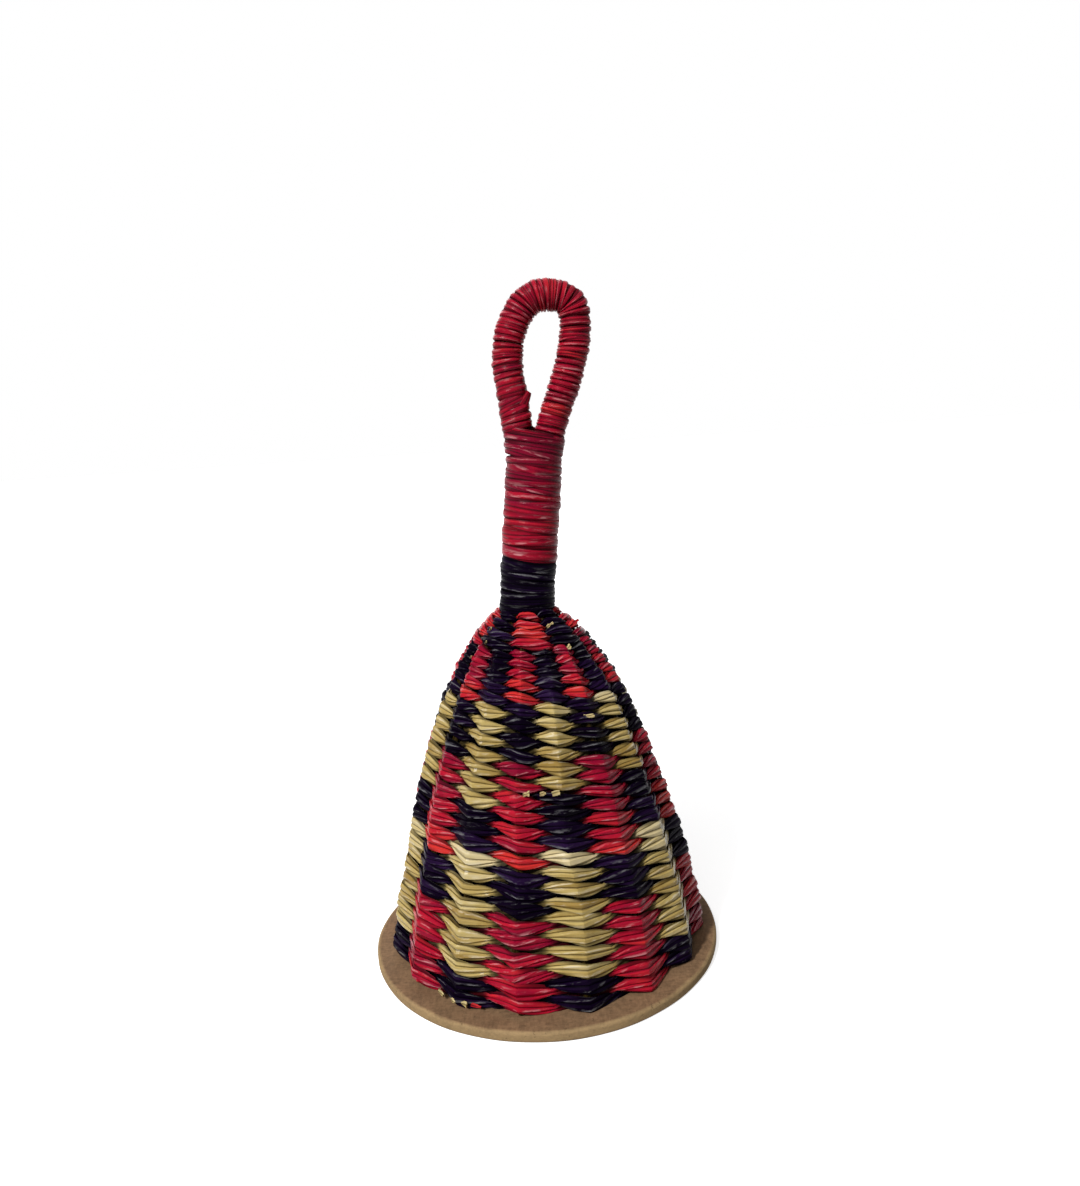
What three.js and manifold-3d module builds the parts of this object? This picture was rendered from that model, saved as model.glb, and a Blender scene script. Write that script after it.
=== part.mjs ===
// A caxixi: a small woven rattle. A dome of twined straw stands on a round fibreboard base and holds
// loose seeds. Its upright stakes gather into a wrapped neck, which also grips the two legs of a
// wrapped finger loop. Millimetres, +Z up, origin at the middle of the base's underside, front at -Y.
import * as THREE from 'three';
import { mergeVertices } from 'three/addons/utils/BufferGeometryUtils.js';
import Module from 'manifold-3d';

const wasm = await Module();
wasm.setup();

// Driving dimensions, in millimetres, degrees and counts.

// Clearance wherever two pieces touch or one fits in another.
const SEAT_GAP = 0.3;

// Round base board, with one blind socket for the foot of each stake.
const BOARD_DIAMETER = 100;
const BOARD_THICKNESS = 3;
const BOARD_EDGE_ROUND = 0.9;
const BOARD_SEGMENTS = 40;
const BOARD_EDGE_STEPS = 2;
const SOCKET_DEPTH = 2;

// Upright stakes, which taper towards the neck.
const STAKE_COUNT = 16;
const STAKE_PHASE = -9.5;
const STAKE_FOOT_DIAMETER = 2.2;
const STAKE_TIP_DIAMETER = 1.7;
const STAKE_SIDES = 5;

// Woven dome. Its outline is radius = foot radius x (1 - u^belly)^shoulder, with u the height share.
const DOME_FOOT_RADIUS = 45.2;
const DOME_HEIGHT = 96.2;
const DOME_BELLY = 1.2;
const DOME_SHOULDER = 0.51;
const STRAND_THICKNESS = 1.5;
const ROW_GROOVE = 0.6;
const ROW_PITCH_SPREAD = 0.18;

// Bands of rows from the foot to the crown. A new band starts where a strand changes colour.
const BANDS = [
  { rows: 2, colour: 'purple' },
  { rows: 4, colour: 'straw' },
  { rows: 4, colour: 'purple' },
  { rows: 4, colour: 'red' },
  { rows: 2, colour: 'straw' },
  { rows: 4, colour: 'straw' },
  { rows: 5, colour: 'red' },
  { rows: 4, colour: 'purple' },
];

// Handle: a neck of bound stakes and loop legs, then a drop-shaped loop. It leans to +X.
const HANDLE_LEAN = 6.8;
const NECK_LENGTH = 48;
const PURPLE_WRAP_LENGTH = 14;
const LEG_SPREAD_LENGTH = 9;
const NECK_FLARE = 1;
const NECK_STRAND_DIAMETER = 1.3;
const NECK_TURN_GAP = 0.44;
const NECK_TURN_STEPS = 10;
const LOOP_RISE = 40;
const LOOP_HALF_WIDTH = 8.7;
const LOOP_TOP_RADIUS = 8;
const LOOP_BELLY_DROP = 5.2;
const LOOP_SWAY = 2;
const CROTCH_RISE = 1.9;
const LOOP_STRAND_DIAMETER = 1.9;
const LOOP_TURN_GAP = 0.7;
const LOOP_CORE_SIDES = 7;
const LOOP_CORE_STEPS = 40;
const LOOP_SAMPLES = 400;
const LOOP_TURN_STEPS = 8;
const STRAND_SIDES = 5;

// Loose seeds, scattered in one layer on the board.
const SEED_COUNT = 16;
const SEED_LENGTH = 6.6;
const SEED_WIDTH = 5.2;
const SEED_THICKNESS = 4.4;
const SEED_FIELD_RADIUS = 30;
const SEED_SEGMENTS = 8;
const SEED_RINGS = 5;
const SEED_SPIRAL_STEP = 137.5;
const SEED_TURN_STEP = 85;

// Sizes that follow from the ones above.
const degrees = THREE.MathUtils.degToRad;
const domeFootZ = BOARD_THICKNESS + SEAT_GAP;
const neckBaseZ = domeFootZ + DOME_HEIGHT;
const neckRingRadius = (STAKE_COUNT * (STAKE_TIP_DIAMETER + SEAT_GAP)) / (2 * Math.PI);
const bundleRadius = neckRingRadius + STAKE_TIP_DIAMETER / 2;
const legRoom = neckRingRadius - STAKE_TIP_DIAMETER / 2 - SEAT_GAP;
const legRadius = (legRoom - SEAT_GAP / 2) / 2;
const legOffset = legRadius + SEAT_GAP / 2;
const crownRadius = bundleRadius + SEAT_GAP + STRAND_THICKNESS;
const rowCount = BANDS.reduce((sum, band) => sum + band.rows, 0);

// Radius of a turn's corners, so that the straight steps between them still clear the core.
function turnRadius(coreRadius, diameter, stepsPerTurn) {
  return (coreRadius + SEAT_GAP + diameter / 2) / Math.cos(Math.PI / stepsPerTurn);
}

const neckTurnRadius = turnRadius(bundleRadius, NECK_STRAND_DIAMETER, NECK_TURN_STEPS);
const neckPitch = NECK_STRAND_DIAMETER + NECK_TURN_GAP;
const loopTurnRadius = turnRadius(legRadius, LOOP_STRAND_DIAMETER, LOOP_TURN_STEPS);
const loopOuterRadius = loopTurnRadius + LOOP_STRAND_DIAMETER / 2;

const MATERIALS = {
  board: new THREE.MeshStandardMaterial({ color: 0x84694b, roughness: 0.85, metalness: 0 }),
  stake: new THREE.MeshStandardMaterial({ color: 0xb89a5e, roughness: 0.7, metalness: 0 }),
  red: new THREE.MeshStandardMaterial({ color: 0xb3152c, roughness: 0.4, metalness: 0 }),
  purple: new THREE.MeshStandardMaterial({ color: 0x1d1029, roughness: 0.35, metalness: 0 }),
  straw: new THREE.MeshStandardMaterial({ color: 0xb79a52, roughness: 0.5, metalness: 0 }),
  seed: new THREE.MeshStandardMaterial({ color: 0x5b2f1c, roughness: 0.4, metalness: 0 }),
};

// Solids and meshes.

function positionsOnly(geometry) {
  const bare = geometry.clone();
  bare.deleteAttribute('normal');
  bare.deleteAttribute('uv');
  return mergeVertices(bare);
}

function toSolid(geometry) {
  const merged = positionsOnly(geometry);
  return new wasm.Manifold(new wasm.Mesh({
    numProp: 3,
    vertProperties: new Float32Array(merged.attributes.position.array),
    triVerts: new Uint32Array(merged.index.array),
  }));
}

function toGeometry(solid) {
  const mesh = solid.getMesh();
  const geometry = new THREE.BufferGeometry();
  geometry.setAttribute('position', new THREE.BufferAttribute(mesh.vertProperties, 3));
  return geometry.setIndex(new THREE.BufferAttribute(mesh.triVerts, 1));
}

function namedMesh(name, geometry, material) {
  const mesh = new THREE.Mesh(geometry, material);
  mesh.name = name;
  return mesh;
}

function numbered(stem, index) {
  return `${stem}_${String(index + 1).padStart(2, '0')}`;
}

// Turns a profile of (radius, height) points about Z, with a corner at the phase angle from -Y.
function turned(profile, segments, phase = 0) {
  const lathe = new THREE.LatheGeometry(profile, segments, degrees(phase), 2 * Math.PI);
  return lathe.rotateX(Math.PI / 2);
}

// A closed tube through points. Each ring starts in the direction that across gives for its point.
function closedTube(points, radiusAt, sides, across) {
  const positions = [];
  const index = [];
  const last = points.length - 1;
  points.forEach((point, i) => {
    const along = new THREE.Vector3()
      .subVectors(points[Math.min(i + 1, last)], points[Math.max(i - 1, 0)])
      .normalize();
    const second = new THREE.Vector3().crossVectors(along, across(i)).normalize();
    const first = new THREE.Vector3().crossVectors(second, along);
    for (let side = 0; side < sides; side += 1) {
      const angle = (2 * Math.PI * side) / sides;
      const corner = point.clone()
        .addScaledVector(first, radiusAt(i) * Math.cos(angle))
        .addScaledVector(second, radiusAt(i) * Math.sin(angle));
      positions.push(corner.x, corner.y, corner.z);
    }
  });
  for (let i = 0; i < last; i += 1) {
    for (let side = 0; side < sides; side += 1) {
      const a = i * sides + side;
      const b = i * sides + ((side + 1) % sides);
      index.push(a, b, b + sides, a, b + sides, a + sides);
    }
  }
  for (let side = 1; side < sides - 1; side += 1) {
    const end = last * sides;
    index.push(0, side + 1, side, end, end + side, end + side + 1);
  }
  const geometry = new THREE.BufferGeometry();
  geometry.setAttribute('position', new THREE.Float32BufferAttribute(positions, 3));
  return geometry.setIndex(index);
}

// Dome outline.

// Outer face of the dome in its meridian plane, from the foot (t = 0) to the crown (t = 1).
class DomeMeridian extends THREE.Curve {
  constructor() {
    super();
    const crownShare = crownRadius / DOME_FOOT_RADIUS;
    this.cut = (1 - crownShare ** (1 / DOME_SHOULDER)) ** (1 / DOME_BELLY);
  }

  getPoint(t, target = new THREE.Vector2()) {
    const radius = DOME_FOOT_RADIUS * (1 - (this.cut * t) ** DOME_BELLY) ** DOME_SHOULDER;
    return target.set(radius, domeFootZ + DOME_HEIGHT * t);
  }
}

const meridian = new DomeMeridian();
const endMargin = SEAT_GAP / 2 / meridian.getLength();

// Share of the meridian at which so many rows, counted from the foot, have been laid.
// Rows are tallest at the foot and flatten evenly towards the crown.
function shareAtRow(rows) {
  const t = rows / rowCount;
  return t * (1 + ROW_PITCH_SPREAD * (1 - t));
}

// A point at a depth under the outer face, measured square to it.
function underFace(share, depth) {
  const along = meridian.getTangentAt(share);
  const inward = new THREE.Vector2(-along.y, along.x);
  return meridian.getPointAt(share).addScaledVector(inward, depth);
}

function stakeDiameterAt(share) {
  return THREE.MathUtils.lerp(STAKE_FOOT_DIAMETER, STAKE_TIP_DIAMETER, share);
}

// Rows laid under each band's lower edge, and at the crown's upper edge. A stake bends at each.
const edgeRows = BANDS.reduce((rows, band) => [...rows, rows.at(-1) + band.rows], [0]);

// Handle frame.

const handle = new THREE.Group();
handle.position.z = neckBaseZ;
handle.rotation.y = degrees(HANDLE_LEAN);
handle.updateMatrix();

// Stakes.

function stakeAngle(index) {
  return degrees(STAKE_PHASE) + (2 * Math.PI * index) / STAKE_COUNT;
}

// Level direction at an angle from -Y, turning towards +X.
function levelDirection(angle) {
  return new THREE.Vector3(Math.sin(angle), -Math.cos(angle), 0);
}

// Middle line of a stake: up from its socket, between the two faces of the wall, and into the neck.
function stakeLine(index) {
  const out = levelDirection(stakeAngle(index));
  const place = (radius, z) => out.clone().multiplyScalar(radius).setZ(z);
  const wall = edgeRows.map((rows) => {
    const share = shareAtRow(rows);
    const depth = STRAND_THICKNESS + SEAT_GAP + stakeDiameterAt(share) / 2;
    const spot = underFace(share, depth);
    return place(spot.x, spot.y);
  });
  const foot = wall[0].clone().setZ(BOARD_THICKNESS - SOCKET_DEPTH + SEAT_GAP);
  const neck = [STAKE_TIP_DIAMETER, NECK_LENGTH - LEG_SPREAD_LENGTH].map(
    (height) => place(neckRingRadius, height).applyMatrix4(handle.matrix),
  );
  return [foot, ...wall, ...neck];
}

// Stake diameters at its foot, at each edge of a band, and in the neck.
const edgeDiameters = edgeRows.map((rows) => stakeDiameterAt(shareAtRow(rows)));
const stakeDiameters = [
  STAKE_FOOT_DIAMETER, ...edgeDiameters, STAKE_TIP_DIAMETER, STAKE_TIP_DIAMETER,
];

function sidewaysOf(index) {
  return levelDirection(stakeAngle(index) + Math.PI / 2);
}

const stakeIndices = Array.from({ length: STAKE_COUNT }, (_, index) => index);

function makeStakes() {
  return stakeIndices.map((index) => {
    const radiusAt = (i) => stakeDiameters[i] / 2;
    const tube = closedTube(stakeLine(index), radiusAt, STAKE_SIDES, () => sidewaysOf(index));
    return namedMesh(numbered('stake', index), tube, MATERIALS.stake);
  });
}

// Base board.

function makeBoard() {
  const flat = BOARD_DIAMETER / 2 - BOARD_EDGE_ROUND;
  const upper = BOARD_THICKNESS - BOARD_EDGE_ROUND;
  const outline = new THREE.Path();
  outline.moveTo(0, 0);
  outline.lineTo(flat, 0);
  outline.absarc(flat, BOARD_EDGE_ROUND, BOARD_EDGE_ROUND, -Math.PI / 2, 0);
  outline.absarc(flat, upper, BOARD_EDGE_ROUND, 0, Math.PI / 2);
  outline.lineTo(0, BOARD_THICKNESS);
  let solid = toSolid(turned(outline.getPoints(BOARD_EDGE_STEPS), BOARD_SEGMENTS));
  stakeIndices.forEach((index) => {
    const foot = stakeLine(index)[0];
    const radius = STAKE_FOOT_DIAMETER / 2 + SEAT_GAP;
    const drill = new THREE.CylinderGeometry(radius, radius, 2 * SOCKET_DEPTH, STAKE_SIDES);
    drill.rotateX(Math.PI / 2).rotateZ(stakeAngle(index));
    drill.translate(foot.x, foot.y, BOARD_THICKNESS);
    solid = solid.subtract(toSolid(drill));
  });
  return namedMesh('base_board', toGeometry(solid), MATERIALS.board);
}

// Weft bands.

// Ridged outer face of a band: a groove at each edge of a row and a crest at its middle.
function rowCrests(firstRow, rows) {
  return Array.from({ length: 2 * rows + 1 }, (_, half) => {
    const inset = half === 0 ? endMargin : half === 2 * rows ? -endMargin : 0;
    const share = shareAtRow(firstRow + half / 2) + inset;
    return underFace(share, half % 2 === 0 ? ROW_GROOVE : 0);
  });
}

// Straight square channel that a stake needs through a band, run past both of the band's faces.
function stakeChannel(index, bandIndex) {
  const line = stakeLine(index);
  const from = line[bandIndex + 1];
  const along = line[bandIndex + 2].clone().sub(from);
  const width = stakeDiameters[bandIndex + 1] + 2 * SEAT_GAP;
  const box = new THREE.BoxGeometry(width, width, along.length() + width);
  const sideways = sidewaysOf(index);
  const third = along.clone().normalize();
  const frame = new THREE.Matrix4()
    .makeBasis(sideways, new THREE.Vector3().crossVectors(third, sideways), third)
    .setPosition(from.clone().addScaledVector(along, 0.5));
  return toSolid(box.applyMatrix4(frame));
}

// A band is a polygon ring with a corner at every stake. Below the crown it closes round the stakes,
// inside and out. The crown rows, where the stakes crowd together, only lie over them.
function makeBand(band, bandIndex) {
  const isCrown = bandIndex === BANDS.length - 1;
  const wallAt = (share) => (isCrown
    ? STRAND_THICKNESS
    : 2 * (STRAND_THICKNESS + SEAT_GAP) + stakeDiameterAt(share));
  const shares = [
    shareAtRow(edgeRows[bandIndex + 1]) - endMargin,
    shareAtRow(edgeRows[bandIndex]) + endMargin,
  ];
  const inner = shares.map((share) => underFace(share, wallAt(share)));
  const crests = rowCrests(edgeRows[bandIndex], band.rows);
  const outline = [...crests, ...inner, crests[0]];
  let solid = toSolid(turned(outline, STAKE_COUNT, STAKE_PHASE));
  if (!isCrown) {
    stakeIndices.forEach((index) => {
      solid = solid.subtract(stakeChannel(index, bandIndex));
    });
  }
  return namedMesh(numbered('weft_band', bandIndex), toGeometry(solid), MATERIALS[band.colour]);
}

// Windings.

// Least distance between points of a winding that lie over half a turn apart, less its diameter.
function leastGap(points, diameter, stepsPerTurn) {
  const distances = points.flatMap((point, i) => points
    .slice(i + stepsPerTurn / 2 + 1)
    .map((other) => point.distanceTo(other)));
  return distances.reduce((least, distance) => Math.min(least, distance), Infinity) - diameter;
}

// A strand wound on a core. spotAt gives the core's middle and its two square directions at a share of
// the winding, and radiusAt the turn's radius there. Both ends run straight for one diameter.
function winding(name, { turns, stepsPerTurn, spotAt, radiusAt, diameter, material }) {
  const steps = turns * stepsPerTurn;
  const spots = Array.from({ length: steps + 1 }, (_, step) => {
    const { middle, first, second } = spotAt(step / steps);
    const angle = (-2 * Math.PI * step) / stepsPerTurn;
    const radial = first.clone().multiplyScalar(Math.cos(angle))
      .addScaledVector(second, Math.sin(angle));
    const point = middle.clone().addScaledVector(radial, radiusAt(step / steps));
    return { point, radial };
  });
  const tail = (end, before) => ({
    point: end.point.clone().add(end.point.clone().sub(before.point).setLength(diameter)),
    radial: end.radial,
  });
  const line = [tail(spots[0], spots[1]), ...spots, tail(spots[steps], spots[steps - 1])];
  const points = line.map((spot) => spot.point);
  const gap = leastGap(points, diameter, stepsPerTurn);
  console.log(`${name}: ${turns} turns, least gap ${gap.toFixed(2)} mm`);
  const tube = closedTube(points, () => diameter / 2, STRAND_SIDES, (i) => line[i].radial);
  return namedMesh(name, tube, material);
}

// Neck wraps: level turns round the bundle of stakes, which open where the loop's legs spread.
function makeNeckWrap(name, firstHeight, lastHeight, material) {
  const turns = Math.floor((lastHeight - firstHeight) / neckPitch);
  const x = new THREE.Vector3(1, 0, 0);
  const y = new THREE.Vector3(0, 1, 0);
  const heightAt = (share) => firstHeight + turns * neckPitch * share;
  const flareAt = (height) => NECK_FLARE
    * THREE.MathUtils.smoothstep(height, NECK_LENGTH - LEG_SPREAD_LENGTH, NECK_LENGTH);
  return winding(name, {
    turns,
    stepsPerTurn: NECK_TURN_STEPS,
    diameter: NECK_STRAND_DIAMETER,
    material,
    spotAt: (share) => ({
      middle: new THREE.Vector3(0, 0, heightAt(share)), first: x, second: y,
    }),
    radiusAt: (share) => neckTurnRadius + flareAt(heightAt(share)),
  });
}

// The purple wrap starts just clear of the crown on the side that the handle leans to, and the red
// wrap one pitch above the purple one's end.
function makeNeckWraps() {
  const dip = neckTurnRadius * Math.tan(degrees(HANDLE_LEAN));
  const purpleStart = SEAT_GAP + NECK_STRAND_DIAMETER / 2 + dip;
  const purpleTurns = Math.floor((PURPLE_WRAP_LENGTH - purpleStart) / neckPitch);
  const purpleEnd = purpleStart + purpleTurns * neckPitch;
  const redEnd = NECK_LENGTH - NECK_STRAND_DIAMETER / 2;
  return [
    makeNeckWrap('neck_wrap_purple', purpleStart, PURPLE_WRAP_LENGTH, MATERIALS.purple),
    makeNeckWrap('neck_wrap_red', purpleEnd + neckPitch, redEnd, MATERIALS.red),
  ];
}

// Middle line of the loop: up one leg, over the top and down the other, in the handle's XZ plane. It
// sways to +X by the square of its rise over the crotch.
const crotchHeight = NECK_LENGTH + CROTCH_RISE;

function makeLoopCurve() {
  const top = NECK_LENGTH + LOOP_RISE - loopOuterRadius;
  const topArcHeight = top - LOOP_TOP_RADIUS;
  const slant = Math.SQRT1_2 * LOOP_TOP_RADIUS;
  const side = [
    [legOffset, SEAT_GAP],
    [legOffset, NECK_LENGTH / 2],
    [legOffset, NECK_LENGTH - LEG_SPREAD_LENGTH],
    [loopOuterRadius + SEAT_GAP, crotchHeight],
    [LOOP_HALF_WIDTH, topArcHeight - LOOP_BELLY_DROP],
    [slant, topArcHeight + slant],
  ];
  const swayAt = (z) => LOOP_SWAY * (Math.max(0, z - crotchHeight) / (top - crotchHeight)) ** 2;
  const mirrored = side.map(([x, z]) => [-x, z]).reverse();
  const outline = [...side, [0, top], ...mirrored];
  return new THREE.CatmullRomCurve3(outline.map(([x, z]) => new THREE.Vector3(x + swayAt(z), 0, z)));
}

const loopCurve = makeLoopCurve();
const acrossLoop = new THREE.Vector3(0, 1, 0);

function makeLoopCore() {
  const points = loopCurve.getSpacedPoints(LOOP_CORE_STEPS);
  const tube = closedTube(points, () => legRadius, LOOP_CORE_SIDES, () => acrossLoop);
  return namedMesh('loop_core', tube, MATERIALS.stake);
}

// Loop wrap: the turns spread on the outside of the bend, so that they never meet on its inside.
function makeLoopWrap() {
  const places = Array.from({ length: LOOP_SAMPLES + 1 }, (_, i) => i / LOOP_SAMPLES)
    .filter((place) => loopCurve.getPointAt(place).z > crotchHeight);
  const stepLength = loopCurve.getLength() / LOOP_SAMPLES;
  const laid = [0];
  places.slice(1).forEach((place, i) => {
    const turn = loopCurve.getTangentAt(places[i]).angleTo(loopCurve.getTangentAt(place));
    laid.push(laid.at(-1) + stepLength - loopTurnRadius * turn);
  });
  const placeAt = (share) => {
    const wanted = share * laid.at(-1);
    const after = Math.max(1, laid.findIndex((length) => length >= wanted));
    const part = THREE.MathUtils.inverseLerp(laid[after - 1], laid[after], wanted);
    return THREE.MathUtils.lerp(places[after - 1], places[after], part);
  };
  return winding('loop_wrap', {
    turns: Math.floor(laid.at(-1) / (LOOP_STRAND_DIAMETER + LOOP_TURN_GAP)),
    stepsPerTurn: LOOP_TURN_STEPS,
    diameter: LOOP_STRAND_DIAMETER,
    material: MATERIALS.red,
    spotAt: (share) => {
      const place = placeAt(share);
      const first = new THREE.Vector3().crossVectors(loopCurve.getTangentAt(place), acrossLoop);
      return { middle: loopCurve.getPointAt(place), first, second: acrossLoop };
    },
    radiusAt: () => loopTurnRadius,
  });
}

// Seeds.

// Seeds lie flat on the board, on a sunflower spiral, each turned its own way.
function makeSeeds() {
  const restZ = BOARD_THICKNESS + SEAT_GAP + SEED_THICKNESS / 2;
  return Array.from({ length: SEED_COUNT }, (_, index) => {
    const geometry = new THREE.SphereGeometry(0.5, SEED_SEGMENTS, SEED_RINGS);
    geometry.rotateX(Math.PI / 2).scale(SEED_LENGTH, SEED_WIDTH, SEED_THICKNESS);
    const mesh = namedMesh(numbered('seed', index), geometry, MATERIALS.seed);
    const angle = degrees(SEED_SPIRAL_STEP) * index;
    const radius = SEED_FIELD_RADIUS * Math.sqrt((index + 0.5) / SEED_COUNT);
    mesh.position.set(radius * Math.cos(angle), radius * Math.sin(angle), restZ);
    mesh.rotation.z = degrees(SEED_TURN_STEP) * index;
    return mesh;
  });
}

// Assembly.

handle.add(makeLoopCore(), makeLoopWrap(), ...makeNeckWraps());

const caxixi = new THREE.Group();
caxixi.add(makeBoard(), ...makeStakes(), ...BANDS.map(makeBand), handle, ...makeSeeds());

export default caxixi;
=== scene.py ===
"""Looks of a caxixi, a small woven rattle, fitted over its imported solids.

The file is laid out as an add-on and is run as a script. Each operator makes one piece or one group of
like pieces: the board, the stakes, the twined wall, its loose ends, the two neck wraps, the loop wrap,
the finishes of the pieces inside, and the stage. Lengths inside the functions are millimetres and angles
degrees, unless a name says otherwise. Angles round the dome start at the front (-Y) and grow towards +X.
"""

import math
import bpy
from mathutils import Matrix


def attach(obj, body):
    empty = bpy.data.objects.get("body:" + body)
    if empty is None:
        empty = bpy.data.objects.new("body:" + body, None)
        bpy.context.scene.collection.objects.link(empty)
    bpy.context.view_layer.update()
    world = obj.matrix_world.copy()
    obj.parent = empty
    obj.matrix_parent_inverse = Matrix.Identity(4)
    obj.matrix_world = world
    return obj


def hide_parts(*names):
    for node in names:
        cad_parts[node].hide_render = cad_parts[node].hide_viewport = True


bl_info = {
    "name": "Caxixi Basketry",
    "version": (1, 0, 0),
    "blender": (4, 5, 0),
    "location": "3D View > Sidebar > Caxixi",
    "description": "Twined wall, bound handle, board and stage of a woven rattle",
    "category": "Add Mesh",
}

import bpy
import numpy as np
from mathutils import Matrix, Vector

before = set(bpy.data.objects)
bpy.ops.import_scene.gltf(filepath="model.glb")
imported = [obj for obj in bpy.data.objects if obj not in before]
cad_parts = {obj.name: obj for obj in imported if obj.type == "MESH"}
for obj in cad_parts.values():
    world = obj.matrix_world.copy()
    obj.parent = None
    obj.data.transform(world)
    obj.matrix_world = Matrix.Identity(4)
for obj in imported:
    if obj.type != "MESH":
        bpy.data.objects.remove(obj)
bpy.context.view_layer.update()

MM = 0.001
BODY = "rattle"
UP = np.array([0.0, 0.0, 1.0])

# Shape of the solids that the pieces below follow.
STAKES = 16
STAKE_STEP = 360 / STAKES
STAKE_PHASE = -9.5
STAKE_FOOT, STAKE_TIP = 2.2, 1.7
STAKE_SOCKET_Z, STAKE_RING, STAKE_NECK_FROM, STAKE_NECK_TO = 1.3, 5.093, 1.7, 39.0
ROWS = 29
ROW_PITCH_SPREAD = 0.18
BOARD_TOP, BOARD_RADIUS, BOARD_EDGE_ROUND = 3.0, 50.0, 0.9
SEAT_GAP = 0.3
WALL_STRAND = 1.5
FOOT_RADIUS, FOOT_Z, DOME_HEIGHT = 45.2, 3.3, 96.2
BELLY, SHOULDER, CROWN_RADIUS = 1.2, 0.51, 7.743
NECK_BASE_Z, HANDLE_LEAN, NECK_LENGTH = 99.5, 6.8, 48.0
LOOP_SIDE = ((2.046, 0.3), (2.046, 24.0), (2.046, 39.0), (4.656, 49.9), (8.7, 70.444), (5.657, 81.301))
LOOP_TOP, LOOP_CROTCH, LOOP_SWAY = 83.644, 49.9, 2.0

# Runs of colour along the two strands, from the crown down: band, first row, last row, colour.
STRAND_ONE = (
    (8, 1, 4, "red"),
    (7, 5, 9, "red"),
    (6, 10, 13, "purple"),
    (5, 14, 15, "red"),
    (4, 16, 19, "red"),
    (3, 20, 20, "red"),
    (3, 21, 23, "purple"),
    (2, 24, 27, "red"),
    (1, 28, 29, "red"),
)
STRAND_TWO = (
    (8, 1, 4, "purple"),
    (7, 5, 9, "purple"),
    (6, 10, 13, "straw"),
    (5, 14, 15, "straw"),
    (4, 16, 19, "purple"),
    (3, 20, 23, "straw"),
    (2, 24, 27, "straw"),
    (1, 28, 29, "purple"),
)
SLOTS = {"red": "dyed_red_straw", "purple": "dyed_purple_straw", "straw": "natural_straw"}

# The strand and row whose straw runs on to the front of the next row.
LATE_CUT = (1, 15)

# Dye lots of the straws: tone from 0 (deep) to 1 (bright), by row from the crown.
TONE_ROWS = (1, 4, 5, 6.5, 8, 9, 14, 16, 18, 19.5, 20.5, 24, 26, 29)
TONES = (0.60, 0.55, 0.15, 0.25, 0.60, 0.85, 0.15, 0.35, 0.45, 0.75, 0.90, 0.20, 0.40, 0.45)

# The stakes that a strand passes together in the crown rows, by number from the front.
CROWN_GROUPS = tuple((first, first + 1) for first in range(0, STAKES, 2))
CROWN_ROWS = 4
LAST_CROWN_GROUP = 3

# How the handwork strays from the even solids. Two front stakes lie some degrees off their places, by
# the share of the dome's height, some rows lie higher than even ones, the dome sways to +X, its sides
# bulge, the neck lies off its line, and the loop's +X shoulder stands out and up.
STRAY_HEIGHTS = (0.0, 0.13, 0.27, 0.40, 0.52, 0.65, 0.76, 0.86, 1.0)
STRAY_LEFT = (0.0, -2.2, -1.1, 0.0, -1.4, 0.2, 2.2, 3.3, 4.2)
STRAY_RIGHT = (0.2, 0.2, 0.2, -2.8, -2.6, -1.4, 0.0, 4.2, 4.2)
STRAY_ANGLES = (-60.0, -9.5, 13.0, 65.0)
LIFT_ROWS = (1.0, 2.5, 5.0, 7.0, 8.5, 10.5, 12.0, 13.5, 15.0, 16.5)
LIFTS = (0.9, 0.2, 0.6, 1.2, 1.7, 1.7, 1.2, 0.6, 0.3, 0.0)
DOME_SWAY = 0.9
BULGE_HEIGHTS = (0.0, 0.1, 0.3, 0.5, 0.75, 1.0)
BULGES_LEFT = (0.6, 0.4, 0.5, 1.2, 0.9, 0.0)
BULGES_RIGHT = (1.2, 1.7, 1.2, 0.8, 1.7, 0.0)
NECK_SHIFT = 0.6
LOOP_SHOULDER = (0.7, 0.3)

# Cut ends that stick out of the wall: colour, angle, row from the crown, turn, rows dropped, depth at the
# start, reach out of the wall.
LOOSE_ENDS = (
    ("straw", -6.5, 15.05, 3.6, -0.10, 1.3, 0.7),
    ("straw", 2.0, 15.10, 3.0, -0.10, 1.3, 0.7),
    ("straw", 8.0, 15.12, 3.4, -0.12, 1.3, 0.8),
    ("straw", 32.0, 9.98, 3.6, 0.10, 1.3, 0.6),
    ("straw", 34.5, 4.35, 3.6, -0.05, 1.3, 0.7),
    ("straw", 28.5, 1.80, 5.0, 0.05, 1.3, 0.6),
    ("straw", -52.0, 2.05, 4.0, 0.15, 1.3, 0.6),
    ("straw", -50.0, 3.35, 4.0, 0.15, 1.3, 0.6),
    ("straw", -60.0, 4.85, 4.0, 0.15, 1.3, 0.6),
    ("red", 74.0, 2.40, 5.0, 0.15, 1.3, 1.1),
    ("straw", -41.5, 28.62, 3.4, 0.0, 1.1, -0.2),
    ("straw", -35.5, 28.62, 3.4, 0.0, 1.0, -0.1),
    ("straw", -30.5, 28.60, 2.6, 0.06, 0.8, 0.1),
    ("red", -27.0, 28.70, 4.0, 0.0, 1.0, -0.3),
    ("straw", 108.0, 12.20, 3.0, 0.10, 1.3, 0.7),
    ("purple", -128.0, 19.10, 2.5, -0.10, 1.3, 0.8),
    ("straw", 171.0, 15.10, -2.2, 0.10, 1.3, 0.7),
)
CUT_SECTION = ((0.55, 0.45), 0.2)

# Ends of the torn tip on the loop's left leg.
FLAP_RUN = ((-3.6, -3.3, 53.8), (-1.8, -1.6, 58.4))

# Seeded values of a straying: how many, the first one used, and the most that one counts.
WANDER_VALUES, WANDER_START, WANDER_LIMIT = 4096, 512, 2

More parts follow.
